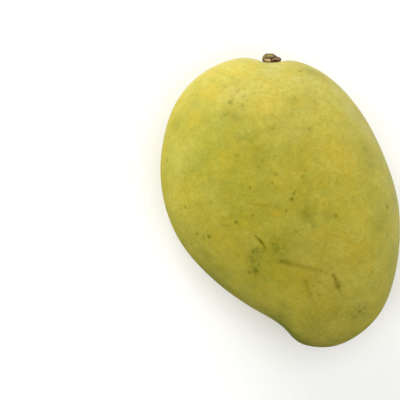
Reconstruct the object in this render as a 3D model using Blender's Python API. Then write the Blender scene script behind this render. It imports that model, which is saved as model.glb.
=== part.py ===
"""A ripening green-yellow mango as picked, lying on one flat cheek, with the woody stub of its stalk.

Metres, +Z up. +Y runs from the nose of the fruit to its stalk end, +X to its fuller back edge, and
the median plane, which parts the two cheeks, is level. The origin is on the surface that the fruit
lies on, under the middle of its bounding box.

The fruit is one solid that grew in one piece. The stub of the stalk is the other: a woody disc with
a broken stalk on it, whose foot stands in a small socket at the bottom of the stalk basin.
"""

import math

import bmesh
import bpy
import numpy as np
from mathutils import Matrix, Vector

MM = 0.001

# The edge of the fruit in its median plane, in millimetres, clockwise from beside the stalk.
EDGE_POINTS_MM = (
    (9.0, 55.3),
    (24.2, 47.0),
    (31.7, 38.1),
    (37.6, 26.7),
    (42.7, 8.6),
    (44.4, -6.0),
    (42.3, -22.3),
    (36.7, -38.0),
    (29.5, -48.7),
    (18.8, -55.7),
    (9.0, -57.7),
    (1.0, -56.0),
    (-4.6, -51.9),
    (-6.6, -48.6),
    (-9.0, -45.5),
    (-16.1, -39.1),
    (-25.5, -30.1),
    (-34.2, -19.0),
    (-40.6, -6.8),
    (-43.6, 8.6),
    (-42.1, 24.0),
    (-39.1, 33.0),
    (-34.3, 42.3),
    (-21.0, 54.0),
    (-5.5, 57.6),
)
# Where the cheeks are fullest, in the same plane.
CHEEK_CENTRE_MM = (2.0, -3.0)

THICKNESS = 70 * MM
# How much fuller than an ellipse a section through the cheeks is.
FULLNESS = 0.10
# The share by which the fruit thickens over one thickness towards the stalk.
TAPER = 0.16
# The cheeks follow only the broad bends of the edge: this many harmonics of its radius.
BROAD_HARMONICS = 3
# How fast the finer bends of the edge, such as the hollow beside the nose, fade from it.
EDGE_FADE = 3.0

# The stalk end: where the axis of the stalk meets the uncut arch, and its lean towards the back.
STALK_X = 7.2 * MM
STALK_LEAN = math.radians(11)
# The basin round the stalk is a saddle: short along the edge, long from cheek to cheek.
BASIN_X = 6.2 * MM
BASIN_DEPTH = 2.8 * MM
BASIN_REACH_ALONG = 6.3 * MM
BASIN_REACH_ACROSS = 15.0 * MM

# Broad swells and hollows of each cheek: x, y, radius and height in millimetres, upper cheek first.
CHEEK_SWELLS_MM = (
    ((-17, -33, 13, -0.9), (9, -43, 13, 0.7), (25, 30, 17, -0.6), (-22, 22, 20, 0.5)),
    ((-17, -33, 13, -0.7), (12, -40, 14, 0.5), (22, 33, 16, -0.5), (-24, 26, 18, 0.4)),
)

# Cuts along each edge of the cube that is rounded into the fruit, and the angle round the stalk,
# seen from the cheek centre, within which the grid is twice as fine.
GRID_CUTS = 23
FINE_ANGLE = math.radians(15)
# How much of the lower cheek is flattened by the surface that it lies on.
FLAT_DEPTH = 0.6 * MM

# The woody stub: radius and height above the basin's skin, in millimetres, foot first.
STUB_PROFILE_MM = (
    (1.45, -2.6),
    (1.75, -2.2),
    (1.75, 0.35),
    (2.25, 0.66),
    (2.95, 0.66),
    (3.38, 0.88),
    (3.45, 1.25),
    (3.38, 1.65),
    (3.15, 2.02),
    (2.82, 2.28),
    (2.55, 2.50),
    (2.28, 2.90),
    (1.92, 3.30),
    (1.50, 3.66),
    (1.00, 3.84),
)
# The disc in it: the height of its middle, its thickness, and how far it bends up at both ends, as
# the basin does, at a millimetre from the axis.
DISC_HEIGHT = 1.3
DISC_THICKNESS = 0.8
DISC_BEND = 0.035
# The broken stalk stands beside the foot's axis. Between these heights the rings step over to it,
# and its rounded end is a little hollow in the middle and wavy at the rim.
STEP_HEIGHTS = (1.8, 2.6)
STUB_TOP = (-0.80, 3.72)
STUB_RIM_WAVE = 0.06
# The lobes of the disc and the ribs of torn wood: how many, their size in millimetres, and their turn.
DISC_LOBES = ((3, 0.20, 1.2), (5, 0.12, 0.0))
WOOD_RIBS = ((5, 0.10, 0.6), (8, 0.08, 2.0))
STUB_SIDES = 36
SOCKET_RADIUS = 2.2 * MM
SOCKET_DEPTH = 2.95 * MM
SOCKET_SIDES = 32

# Base colour, roughness and metallic value.
SKIN_FINISH = ((0.47, 0.43, 0.09), 0.48, 0.0)
WOOD_FINISH = ((0.15, 0.085, 0.035), 0.85, 0.0)


def clear_scene():
    for obj in list(bpy.data.objects):
        bpy.data.objects.remove(obj, do_unlink=True)


def closed_spline(angles, values):
    """A smooth function of the angle that passes through the values and joins up after one turn."""
    order = np.argsort(angles)
    angles, values = angles[order], values[order]
    count = len(angles)
    gaps = np.diff(np.append(angles, angles[0] + 2 * math.pi))
    bends = np.zeros((count, count))
    slopes = np.zeros(count)
    for i in range(count):
        before, after = (i - 1) % count, (i + 1) % count
        bends[i, before] = gaps[before]
        bends[i, i] = 2 * (gaps[before] + gaps[i])
        bends[i, after] = gaps[i]
        rise = (values[after] - values[i]) / gaps[i]
        slopes[i] = 6 * (rise - (values[i] - values[before]) / gaps[before])
    bend = np.linalg.solve(bends, slopes)

    def value_at(angle):
        turned = (np.asarray(angle) - angles[0]) % (2 * math.pi) + angles[0]
        i = np.searchsorted(angles, turned, side="right") - 1
        j = (i + 1) % count
        gap, past = gaps[i], turned - angles[i]
        left = gap - past
        cubic = (bend[i] * left**3 + bend[j] * past**3) / (6 * gap)
        start = (values[i] / gap - bend[i] * gap / 6) * left
        end = (values[j] / gap - bend[j] * gap / 6) * past
        return cubic + start + end

    return value_at


def edge_radius():
    """The distance from the cheek centre to the edge, as a function of the angle."""
    away = (np.array(EDGE_POINTS_MM) - CHEEK_CENTRE_MM) * MM
    return closed_spline(np.arctan2(away[:, 1], away[:, 0]), np.hypot(away[:, 0], away[:, 1]))


def broad_radius(radius_at):
    """The same distance with only the first few harmonics left."""
    turn = np.linspace(0, 2 * math.pi, 720, endpoint=False)
    parts = np.fft.rfft(radius_at(turn)) / len(turn)

    def value_at(angle):
        total = np.full_like(angle, parts[0].real)
        for k in range(1, BROAD_HARMONICS + 1):
            total += 2 * (parts[k].real * np.cos(k * angle) - parts[k].imag * np.sin(k * angle))
        return total

    return value_at


def swell_height(places, upper):
    """How far the cheek stands out at each place."""
    height = np.zeros(len(places))
    for swells, here in zip(CHEEK_SWELLS_MM, (upper, ~upper)):
        for x, y, radius, rise in swells:
            away = np.hypot(places[:, 0] - x * MM, places[:, 1] - y * MM) / (radius * MM)
            height += here * rise * MM * np.exp(-(away**2))
    return height


def stalk_axis():
    """The unit vector along the stalk, out of the fruit."""
    return np.array((math.sin(STALK_LEAN), math.cos(STALK_LEAN), 0.0))


def arch_point(x):
    """The point of the edge above the cheek centre at an x, as it would be with no basin."""
    radius_at = edge_radius()
    centre = np.array((*CHEEK_CENTRE_MM, 0.0)) * MM
    angle = math.pi / 2
    for _ in range(20):
        reach = float(radius_at(angle))
        angle -= (x - centre[0] - reach * math.cos(angle)) / reach
    return centre + reach * np.array((math.cos(angle), math.sin(angle), 0.0))


def sunk_in_basin(points):
    """Points of the uncut surface, moved down the stalk's axis into the basin."""
    away = points - arch_point(BASIN_X)
    along = np.hypot(away[:, 0], away[:, 1]) / BASIN_REACH_ALONG
    across = away[:, 2] / BASIN_REACH_ACROSS
    return points - BASIN_DEPTH * np.exp(-(along**2) - across**2)[:, None] * stalk_axis()


def fruit_points(directions):
    """The fruit's surface over unit directions: an inflated form of its edge, with the basin sunk in."""
    radius_at = edge_radius()
    broad_at = broad_radius(radius_at)
    angle = np.arctan2(directions[:, 1], directions[:, 0])
    level = np.hypot(directions[:, 0], directions[:, 1])
    broad = broad_at(angle)
    reach = level * (broad + (radius_at(angle) - broad) * level**EDGE_FADE)
    points = np.empty_like(directions)
    points[:, 0] = CHEEK_CENTRE_MM[0] * MM + reach * np.cos(angle)
    points[:, 1] = CHEEK_CENTRE_MM[1] * MM + reach * np.sin(angle)
    bulge = directions[:, 2] * (1 + FULLNESS * level**2)
    taper = 1 + TAPER * (points[:, 1] - CHEEK_CENTRE_MM[1] * MM) / THICKNESS
    swell = swell_height(points, directions[:, 2] > 0) * directions[:, 2]
    points[:, 2] = THICKNESS / 2 * bulge * taper + swell
    return sunk_in_basin(points)


def spread_evenly(corner):
    """The unit direction of a point on the cube, so turned that equal squares stay about equal."""
    return Vector([math.tan(along * math.pi / 4) for along in corner]).normalized()


def rounded_cube():
    """A finely cut cube, and the unit direction of each of its points."""
    cube = bmesh.new()
    bmesh.ops.create_cube(cube, size=2)
    bmesh.ops.subdivide_edges(cube, edges=cube.edges[:], cuts=GRID_CUTS, use_grid_fill=True)
    centre = np.array((*CHEEK_CENTRE_MM, 0.0)) * MM
    to_stalk = Vector(arch_point(STALK_X) - centre)
    near = {vert for vert in cube.verts if spread_evenly(vert.co).angle(to_stalk) < FINE_ANGLE}
    fine = [edge for edge in cube.edges if near.issuperset(edge.verts)]
    bmesh.ops.subdivide_edges(cube, edges=fine, cuts=1, use_grid_fill=True)
    return cube, np.array([spread_evenly(vert.co) for vert in cube.verts])


def flatten_underside(fruit, level):
    """Cuts the lower cheek off at a height and closes it with one flat face."""
    everything = fruit.verts[:] + fruit.edges[:] + fruit.faces[:]
    bmesh.ops.bisect_plane(
        fruit, geom=everything, plane_co=(0, 0, level), plane_no=(0, 0, -1), clear_outer=True
    )
    rim = [edge for edge in fruit.edges if edge.is_boundary]
    bmesh.ops.contextual_create(fruit, geom=rim)
    bmesh.ops.recalc_face_normals(fruit, faces=fruit.faces[:])


def add_object(name, mesh_maker, finish):
    """An object made from a bmesh, with its own material, shaded smooth."""
    mesh = bpy.data.meshes.new(name)
    mesh_maker.to_mesh(mesh)
    mesh_maker.free()
    mesh.shade_smooth()
    obj = bpy.data.objects.new(name, mesh)
    bpy.context.scene.collection.objects.link(obj)
    colour, roughness, metallic = finish
    material = bpy.data.materials.new(name)
    material.use_nodes = True
    shader = material.node_tree.nodes["Principled BSDF"]
    shader.inputs["Base Color"].default_value = (*colour, 1)
    shader.inputs["Roughness"].default_value = roughness
    shader.inputs["Metallic"].default_value = metallic
    mesh.materials.append(material)
    return obj


def make_fruit():
    """The fruit, with its median plane at height 0, and the height of its flat spot."""
    fruit, directions = rounded_cube()
    points = fruit_points(directions)
    for vert, point in zip(fruit.verts, points):
        vert.co = point
    level = points[:, 2].min() + FLAT_DEPTH
    flatten_underside(fruit, level)
    return add_object("fruit", fruit, SKIN_FINISH), level


def waves(turn, terms):
    """The sum of waves round the stub's side, each given by its count, size and turn."""
    return sum(size * math.sin(count * turn + start) for count, size, start in terms)


def stub_point(radius, height, turn):
    """A point of the stub above the skin, in millimetres, from its place on the plain profile."""
    disc = math.exp(-(((height - DISC_HEIGHT) / DISC_THICKNESS) ** 2))
    radius += disc * waves(turn, DISC_LOBES) + min(1.0, height) * waves(turn, WOOD_RIBS)
    x, y = radius * math.cos(turn), radius * math.sin(turn)
    step_start, step_end = STEP_HEIGHTS
    over = min(1.0, max(0.0, (height - step_start) / (step_end - step_start)))
    bend = (1 - over) * DISC_BEND * x**2
    rim = over * STUB_RIM_WAVE * math.sin(3 * turn)
    return x + over * STUB_TOP[0], y, height + bend + rim


def make_stub():
    """The woody stub round its foot's axis, +Z up, with height 0 at the basin's skin."""
    stub = bmesh.new()
    rings = []
    for radius, height in STUB_PROFILE_MM:
        ring = []
        for side in range(STUB_SIDES):
            turn = 2 * math.pi * side / STUB_SIDES
            place = (radius * math.cos(turn), radius * math.sin(turn), height)
            if height > 0:
                place = stub_point(radius, height, turn)
            ring.append(stub.verts.new(Vector(place) * MM))
        rings.append(ring)
    for lower, upper in zip(rings, rings[1:]):
        for side in range(STUB_SIDES):
            after = (side + 1) % STUB_SIDES
            stub.faces.new((lower[side], lower[after], upper[after], upper[side]))
    stub.faces.new(rings[0][::-1])
    top = stub.verts.new(Vector((STUB_TOP[0], 0, STUB_TOP[1])) * MM)
    for side in range(STUB_SIDES):
        stub.faces.new((rings[-1][side], rings[-1][(side + 1) % STUB_SIDES], top))
    return add_object("stem_stub", stub, WOOD_FINISH)


def stalk_placement():
    """The matrix that stands something made round +Z on the basin's skin, along the stalk."""
    foot = sunk_in_basin(arch_point(STALK_X)[None])[0]
    lie_down = Matrix.Rotation(-math.pi / 2, 4, "X")
    return Matrix.Translation(foot) @ Matrix.Rotation(-STALK_LEAN, 4, "Z") @ lie_down


def cut_socket(fruit, placement):
    """Bores the small blind socket for the stub's foot."""
    cutter_mesh = bmesh.new()
    bmesh.ops.create_cone(
        cutter_mesh,
        cap_ends=True,
        segments=SOCKET_SIDES,
        radius1=SOCKET_RADIUS,
        radius2=SOCKET_RADIUS,
        depth=2 * SOCKET_DEPTH,
    )
    cutter = add_object("socket_cutter", cutter_mesh, WOOD_FINISH)
    cutter.matrix_world = placement
    cutter.hide_render = True
    cutter.display_type = "WIRE"
    bore = fruit.modifiers.new("socket", "BOOLEAN")
    bore.operation = "DIFFERENCE"
    bore.solver = "EXACT"
    bore.object = cutter
    return cutter


def main():
    clear_scene()
    fruit, flat_level = make_fruit()
    stub = make_stub()
    placement = stalk_placement()
    cutter = cut_socket(fruit, placement)
    stub.matrix_world = placement
    bpy.context.view_layer.update()

    corners = [
        obj.matrix_world @ vert.co for obj in (fruit, stub) for vert in obj.data.vertices
    ]
    middle = [(min(c[k] for c in corners) + max(c[k] for c in corners)) / 2 for k in range(2)]
    shift = Matrix.Translation((-middle[0], -middle[1], -flat_level))
    for obj in (fruit, stub, cutter):
        obj.matrix_world = shift @ obj.matrix_world


main()
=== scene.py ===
import math
import random

import bmesh
import bpy
import numpy as np
from mathutils import Matrix, Vector, noise


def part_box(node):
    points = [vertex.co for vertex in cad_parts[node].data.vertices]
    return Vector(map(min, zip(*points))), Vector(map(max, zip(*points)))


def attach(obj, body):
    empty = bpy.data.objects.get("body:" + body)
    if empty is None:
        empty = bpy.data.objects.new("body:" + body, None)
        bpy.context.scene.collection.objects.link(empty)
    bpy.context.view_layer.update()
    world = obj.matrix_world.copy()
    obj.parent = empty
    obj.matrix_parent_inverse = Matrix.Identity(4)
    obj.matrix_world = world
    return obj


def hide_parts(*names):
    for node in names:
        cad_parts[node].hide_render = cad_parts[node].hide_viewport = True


# A ripening green-yellow mango lying on one flat cheek, with the woody stub of its stalk.
# Metres in the row frame: +Y from the nose to the stalk end, +X to the fuller back edge, +Z up.

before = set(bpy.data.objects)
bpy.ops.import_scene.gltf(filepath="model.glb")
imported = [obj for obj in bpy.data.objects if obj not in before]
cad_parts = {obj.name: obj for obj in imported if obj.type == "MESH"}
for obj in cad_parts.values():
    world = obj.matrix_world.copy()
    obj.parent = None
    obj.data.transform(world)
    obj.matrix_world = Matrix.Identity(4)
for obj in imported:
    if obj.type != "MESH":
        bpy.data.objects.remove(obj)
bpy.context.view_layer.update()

MM = 0.001

# View from straight above, with the stalk a little right of the top.
VIEW_TURN = math.radians(10.74)
VIEW_CENTRE = (-0.03034, 0.00698)
CAMERA_HEIGHT = 0.735
CAMERA_LENS = 164.2
SENSOR_WIDTH = 36.0
CLIP_START = 0.02
CLIP_END = 30.0

# Studio: each soft lamp's place, width, power and colour, and whether it shows in the gloss.
LAMPS = (
    ("key", (-0.25, 1.25, 0.60), 1.10, 14.0, (1.0, 0.99, 0.97), True),
    ("overhead", (0.05, -0.10, 1.50), 1.30, 17.2, (1.0, 1.0, 1.0), False),
    ("left", (-1.20, 0.35, 0.24), 0.45, 11.5, (1.0, 1.0, 0.99), False),
    ("front", (0.80, -1.00, 0.50), 0.80, 2.6, (1.0, 1.0, 1.0), True),
    ("right", (1.25, -0.10, 0.14), 0.28, 3.0, (1.0, 1.0, 1.0), False),
)
LAMP_TARGET = (0.0, 0.0, 0.04)
SKY_COLOUR = (1.0, 1.0, 0.98)
# The sky is bright low down on one side, and dark overhead and on the other side.
SKY_BRIGHT_SIDE = (0.584, 0.812, 0.0)
SKY_STRENGTHS = (0.02, 1.25)
SKY_BLEND = (-0.15, 0.45)
SKY_FADE_HEIGHTS = (0.10, 0.80)
FLOOR_COLOUR = (0.93, 0.93, 0.93)
FLOOR_SIZE = 6.0
FLOOR_ROUGHNESS = 0.9
FLOOR_SPECULAR = 0.1
# The floor lies this far under the fruit, so that the two faces don't share a plane.
FLOOR_DROP = 0.05 * MM

# Body of the fruit: the same form as the solid it stands for, in that form's own axes.
EDGE_POINTS_MM = (
    (9.0, 55.3),
    (24.2, 47.0),
    (31.7, 38.1),
    (37.6, 26.7),
    (42.7, 8.6),
    (44.4, -6.0),
    (42.3, -22.3),
    (36.7, -38.0),
    (29.5, -48.7),
    (18.8, -55.7),
    (9.0, -57.7),
    (1.0, -56.0),
    (-4.6, -51.9),
    (-6.6, -48.6),
    (-9.0, -45.5),
    (-16.1, -39.1),
    (-25.5, -30.1),
    (-34.2, -19.0),
    (-40.6, -6.8),
    (-43.6, 8.6),
    (-42.1, 24.0),
    (-39.1, 33.0),
    (-34.3, 42.3),
    (-21.0, 54.0),
    (-5.5, 57.6),
)
# The middle of the cheeks, the thickness there, and how full and how tapered the cheeks are.
CHEEK_CENTRE = np.array((2.0, -3.0)) * MM
THICKNESS = 70 * MM
FULLNESS = 0.10
TAPER = 0.16
# How much of the edge's form the cheeks keep, and how fast the rest fades in towards the edge.
BROAD_HARMONICS = 3
EDGE_FADE = 3.0
# The stalk, and the basin that it stands in.
STALK_X = 7.2 * MM
STALK_LEAN = math.radians(11)
BASIN_X = 6.2 * MM
BASIN_DEPTH = 2.8 * MM
BASIN_REACH_ALONG = 6.3 * MM
BASIN_REACH_ACROSS = 15.0 * MM
# Swells and dips of the upper and the lower cheek: x, y, radius and height.
CHEEK_SWELLS_MM = (
    ((-17, -33, 13, -0.9), (9, -43, 13, 0.7), (25, 30, 17, -0.6), (-22, 22, 20, 0.5)),
    ((-17, -33, 13, -0.7), (12, -40, 14, 0.5), (22, 33, 16, -0.5), (-24, 26, 18, 0.4)),
)

# Steps in the search for a point of the edge, and samples of the edge for its broad form.
ARCH_STEPS = 20
EDGE_SAMPLES = 720
# Cuts along each edge of the cube that is rounded into the fruit.
GRID_CUTS = 96
# How gently the flat spot on the lower cheek runs out into the skin.
FLAT_EASE = 0.12 * MM

# Marks of the upper cheek, seen from above, in row millimetres.
# Pinholes and dark pores: x, y, radius, strength.
SPECKS_MM = (
    (-12.5, 40.3, 0.90, 0.70),
    (-11.6, 41.1, 0.60, 0.40),
    (-8.5, 38.3, 0.80, 0.55),
    (-9.2, 44.0, 0.75, 0.40),
    (-13.2, 46.3, 0.60, 0.40),
    (-7.3, 41.7, 0.65, 0.45),
    (-6.4, 39.9, 0.50, 0.35),
    (-6.2, 44.6, 0.60, 0.35),
    (-10.4, 42.6, 0.45, 0.30),
    (-13.8, 20.5, 0.50, 0.35),
    (-5.3, 16.9, 0.60, 0.40),
    (-39.7, 23.9, 0.55, 0.80),
    (13.9, 25.0, 0.45, 0.40),
    (9.3, 10.5, 0.50, 0.45),
    (-11.6, 8.0, 0.55, 0.75),
    (-36.3, 5.3, 0.60, 1.00),
    (-26.7, 5.2, 0.40, 0.45),
    (-12.5, -2.1, 0.45, 0.60),
    (-18.8, -3.6, 0.60, 0.80),
    (-29.7, -7.0, 0.75, 1.00),
    (-33.6, -5.2, 0.55, 0.95),
    (-31.5, -6.7, 0.50, 0.80),
    (-14.8, -22.9, 0.85, 0.70),
    (-17.4, -22.9, 0.65, 0.60),
    (-7.3, -13.8, 0.50, 0.60),
    (-1.4, 11.0, 0.50, 0.60),
    (-7.1, 14.7, 0.50, 0.50),
    (2.5, 0.9, 0.62, 0.90),
    (3.7, 2.9, 0.45, 0.80),
    (4.6, 3.6, 0.40, 0.60),
    (7.7, 8.4, 0.50, 0.55),
    (-0.2, -2.7, 0.45, 0.70),
    (17.4, -8.1, 0.85, 0.55),
    (1.8, -11.0, 0.60, 0.55),
    (-3.2, 8.2, 0.45, 0.70),
    (18.1, -46.8, 0.75, 0.85),
    (20.6, -45.3, 0.60, 0.90),
    (22.8, -44.1, 0.55, 0.90),
    (20.5, -42.9, 0.45, 0.60),
    (17.0, -45.6, 0.45, 0.60),
    (19.3, -44.2, 0.40, 0.60),
    (21.8, -45.9, 0.40, 0.55),
    (24.0, -42.8, 0.40, 0.50),
    (18.9, -47.9, 0.40, 0.50),
    (38.0, -8.6, 0.60, 1.00),
    (35.0, -0.8, 0.45, 0.55),
    (17.2, 4.4, 0.40, 0.45),
    (23.4, 5.9, 0.45, 0.50),
    (36.1, -19.0, 0.50, 0.70),
    (27.6, -31.2, 0.50, 0.50),
    (15.7, 47.4, 0.60, 0.75),
    (19.5, 38.5, 0.50, 0.35),
    (18.0, 35.0, 0.45, 0.40),
    (0.8, 27.7, 0.50, 0.45),
)
# Green clouds under the skin: x, y, radius, strength.
GREEN_CLOUDS_MM = (
    (-15.3, 36.8, 2.2, 0.62),
    (-12.1, 34.0, 3.5, 0.40),
    (10.0, 36.0, 3.5, 0.30),
    (9.5, 33.0, 2.0, 0.25),
    (-9.3, 26.1, 6.0, 0.35),
    (-5.6, 19.0, 4.5, 0.45),
    (-13.8, 20.5, 1.1, 0.50),
    (-5.3, 16.9, 1.1, 0.50),
    (13.9, 25.0, 1.1, 0.45),
    (1.2, 27.9, 1.1, 0.45),
    (1.2, 29.9, 4.0, 0.30),
    (20.0, 46.4, 3.5, 0.50),
    (16.2, 36.5, 4.0, 0.30),
    (34.9, 9.3, 4.5, 0.35),
    (-32.0, -13.8, 2.0, 0.45),
    (-5.4, -15.5, 4.5, 0.68),
    (-8.5, -12.0, 3.0, 0.30),
    (7.0, -5.8, 3.0, 0.65),
    (8.6, -9.8, 1.8, 0.45),
    (-16.0, 25.0, 3.0, 0.25),
    (14.5, -6.6, 1.6, 0.40),
    (33.7, -13.6, 4.0, 0.40),
    (-6.4, -38.1, 2.2, 0.35),
    (20.4, -44.9, 3.0, 0.30),
    (-14.4, -18.8, 4.2, 0.12),
    (-6.5, -43.5, 4.5, 0.12),
    (11.7, -44.0, 1.8, 0.25),
    (30.1, -35.0, 3.5, 0.35),
    (-31.8, -20.8, 7.0, 0.30),
    (-24.1, -1.8, 1.6, 0.30),
)
# Bruises: x, y, radius, strength.
BRUISES_MM = (
    (-14.1, -15.9, 1.9, 0.75),
    (-15.0, -18.9, 1.8, 0.60),
    (-14.9, -22.4, 1.9, 0.60),
    (-17.2, -22.6, 1.3, 0.45),
    (-13.2, -14.5, 0.8, 0.60),
    (-15.8, -17.2, 0.8, 0.70),
    (-13.7, -20.3, 0.9, 0.70),
    (-16.4, -20.9, 0.7, 0.60),
    (-12.6, -17.2, 0.7, 0.50),
    (-15.6, -23.8, 0.8, 0.70),
    (-11.2, -15.4, 1.4, 0.45),
    (-14.2, -18.0, 3.0, 0.30),
)
# Warm flushes of ripening: x, y, radius, strength.
FLUSHES_MM = (
    (-28.9, 42.4, 3.0, 0.40),
    (-26.8, 37.6, 3.5, 0.40),
    (-21.6, 45.5, 4.0, 0.40),
    (-16.7, 53.5, 2.5, 0.30),
    (-9.0, 42.5, 4.0, 0.12),
    (-3.8, -3.0, 1.3, 0.85),
    (10.6, 11.0, 1.3, 0.50),
    (-2.5, 9.5, 1.3, 0.45),
    (21.4, -24.5, 2.2, 0.40),
    (25.2, -21.7, 3.5, 0.35),
    (27.6, -41.1, 2.5, 0.25),
    (1.4, 36.3, 5.0, 0.30),
    (8.3, -14.6, 2.5, 0.25),
    (22.8, 11.7, 9.0, 0.25),
    (4.0, -30.0, 14.0, 0.25),
    (24.0, -22.0, 12.0, 0.15),
    (-20.0, -16.0, 10.0, 0.18),
)
# Paler places, partly worn skin and partly a painted highlight where the light falls: x, y, radius,
# strength.
PALE_AND_HIGHLIGHT_MM = (
    (-34.0, 25.0, 10.0, 0.15),
    (-25.5, 9.0, 6.0, 0.12),
    (-27.0, 42.0, 6.0, 0.10),
    (-15.0, -14.0, 4.0, 0.08),
    (14.0, 32.0, 5.0, 0.14),
    (28.0, 21.0, 5.0, 0.15),
    (-8.5, 42.0, 2.6, 0.22),
    (-11.5, 44.0, 3.4, 0.15),
    (18.0, 41.0, 7.0, 0.22),
    (5.0, 48.5, 5.0, 0.30),
    (6.0, 51.2, 2.4, 0.50),
    (8.2, 50.4, 2.0, 0.40),
    (8.0, 26.5, 7.0, 0.16),
    (3.5, -18.0, 6.0, 0.12),
    (10.0, -30.0, 6.0, 0.12),
    (13.6, 44.1, 1.4, 0.55),
    (27.7, 37.1, 4.0, 0.25),
    (31.0, 29.5, 5.0, 0.35),
    (35.3, 21.1, 5.0, 0.30),
)
# Scratches: points along it, with the half width and the strength from one end to the other.
SCRATCHES_MM = (
    (
        ((-13.0, -9.7), (-11.5, -11.6), (-10.6, -13.5), (-9.9, -15.0)),
        (0.28, 0.58, 0.38),
        (0.65, 1.0, 0.70),
    ),
    (((-5.2, -20.8), (-2.3, -22.1)), (1.05, 0.95), (0.66, 0.50)),
    (
        ((-3.2, -21.7), (2.3, -24.2), (6.3, -26.1), (10.6, -28.1)),
        (1.00, 0.90, 0.90, 0.60),
        (0.32, 0.34, 0.36, 0.15),
    ),
    (((12.6, -29.2), (13.3, -31.4), (13.9, -33.9)), (0.70, 0.95, 1.25), (0.55, 0.62, 0.64)),
    (((14.1, -34.6), (14.7, -37.4)), (0.65, 0.45), (0.35, 0.15)),
    (((2.0, -29.7), (2.9, -33.9), (4.1, -38.0)), (0.90, 0.80, 0.70), (0.36, 0.24, 0.10)),
    (((-13.9, 2.6), (-10.5, 1.7), (-2.6, -1.2)), (0.45, 0.50, 0.50), (0.12, 0.25, 0.22)),
    (((-24.3, -3.9), (-21.6, -4.3)), (0.45, 0.40), (0.35, 0.25)),
)
# The same kinds of mark strewn over the rest: how many, their radii and their strengths.
STREWN_SEED = 23
STREWN_MARKS_MM = (
    ("speck", 60, (0.35, 0.75), (0.3, 0.9)),
    ("green", 26, (1.8, 6.5), (0.25, 0.65)),
    ("bruise", 4, (1.2, 2.4), (0.3, 0.6)),
    ("flush", 14, (2.0, 6.0), (0.2, 0.45)),
)
# The share of the thickness above which nothing is strewn.
STREWN_TOP = 0.52
STREWN_SCRATCHES = 7
SCRATCH_STEPS = (2, 6)
SCRATCH_STEP = 1.8 * MM
SCRATCH_TURN = 0.35
SCRATCH_HALF_WIDTHS = (0.3 * MM, 0.7 * MM)
SCRATCH_START_STRENGTHS = (0.4, 0.9)
SCRATCH_END_STRENGTHS = (0.2, 0.6)
SHORTEST_STEP = 0.8 * MM
# How far apart the points of a scratch on the upper cheek are laid.
SCRATCH_SPACING = 1.5 * MM
# How marks fray: the seed, the size of the waver, and how far it moves the skin's points.
FRAY_SEED = 23
FRAYS_MM = ((1.8, 0.38), (0.7, 0.20))
# The part of the fraying that small, sharp marks take.
SHARP_FRAY = 0.5
# How many of its radii or half widths a mark reaches.
MARK_REACH = 2.0

# Relief of each mark at full strength.
SPECK_PIT = 0.09 * MM
SCRATCH_GROOVE = 0.14 * MM
BRUISE_DENT = 0.18 * MM
# Slow swells of the skin: wavelength and height.
SWELLS_MM = ((19.0, 0.16), (8.0, 0.05))
# The collar of skin and the folds round the stalk: height, distance from the axis and width.
COLLAR_MM = (0.05, 4.1, 0.6)
FOLDS_MM = (0.06, 7.0, 3.0)
FOLD_COUNT = 9
FOLD_SWAY = 1.3
CALLUS_REACH = 20 * MM
# Where the mesh is refined: the margins round the marks, and the reach round the stalk.
REFINE_MARGINS = (0.9 * MM, 0.2 * MM)
STALK_REFINE_REACH = 9 * MM
STALK_REFINE_MARGINS = 4

# Colours of the skin, from greenest to ripest, and of its marks. The ripest stops are paler and
# bluer,
# partly a painted highlight: the haze where the light falls on the top of the fruit.
RIPENESS_AND_PAINTED_HAZE = (
    (0.00, (0.155, 0.170, 0.010)),
    (0.30, (0.280, 0.265, 0.020)),
    (0.55, (0.380, 0.326, 0.032)),
    (0.80, (0.480, 0.410, 0.060)),
    (1.00, (0.570, 0.482, 0.100)),
)
WARM_TINT = (1.033, 0.977, 0.740)
COOL_TINT = (0.967, 1.023, 1.270)
CLOUD_COLOUR = (0.170, 0.182, 0.010)
BRUISE_COLOUR = (0.168, 0.174, 0.016)
FLUSH_COLOUR = (0.480, 0.330, 0.016)
# Paler skin, partly worn and partly a painted highlight.
PALE_AND_HIGHLIGHT_COLOUR = (0.520, 0.480, 0.170)
COLLAR_COLOUR = (0.700, 0.620, 0.280)
PORE_COLOUR = (0.480, 0.430, 0.080)
SPECK_COLOUR = (0.150, 0.135, 0.001)
SCRATCH_COLOUR = (0.155, 0.130, 0.001)

# Layers of noise in the skin, in millimetres. Each step is a smooth one between two values of the
# noise, with what it turns into at either end.
# Clouds of ripeness: size, amount and shift.
RIPENESS_CLOUDS = ((26.0, 0.24, 0.0), (9.0, 0.18, 40.0), (3.0, 0.18, 80.0))
GRAIN = {"size": 0.9, "detail": 3.0, "roughness": 0.6}
GRAIN_AMOUNT = 0.22
# The grain is coarse where the skin is green, and fine where it is ripe.
COARSE_STEP = (0.45, 0.85, 1.25, 0.65)
HUE = {"size": 6.0, "detail": 5.0, "roughness": 0.72, "shift": 120.0}
HUE_STEP = (0.30, 0.70)
WISPS = {"size": 2.2, "detail": 4.0, "roughness": 0.65, "distortion": 0.5}
WISP_STEP = (0.36, 0.64, 0.35, 1.35)
# The pale ring of skin round the stalk.
COLLAR_STRENGTH = 0.55
COLLAR_RADIUS_MM = 4.4
COLLAR_WIDTH_MM = 1.0
# Pale pores, each with a greener halo.
PORE_SPACING = 1.9
PORE_STEP = (0.10, 0.22, 1.0, 0.0)
PORE_STRENGTH = 0.22
HALO_STEP = (0.20, 0.50, 1.0, 0.0)
HALO_STRENGTH = 0.16
# Green flecks, thicker in some places.
FLECKS = {"size": 1.3, "detail": 3.0, "roughness": 0.65, "shift": 30.0}
FLECK_STEP = (0.56, 0.72)
FLECK_STRENGTH = 0.20
THICKETS = {"size": 14.0, "detail": 2.0, "shift": 60.0}
THICKET_STEP = (0.40, 0.62)
THICKET_STRENGTH = 0.28
# Fine dark pinpricks.
PIN_SPACING = 6.0
PIN_STEP = (0.03, 0.07, 1.0, 0.0)
PIN_STRENGTH = 0.30
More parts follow.
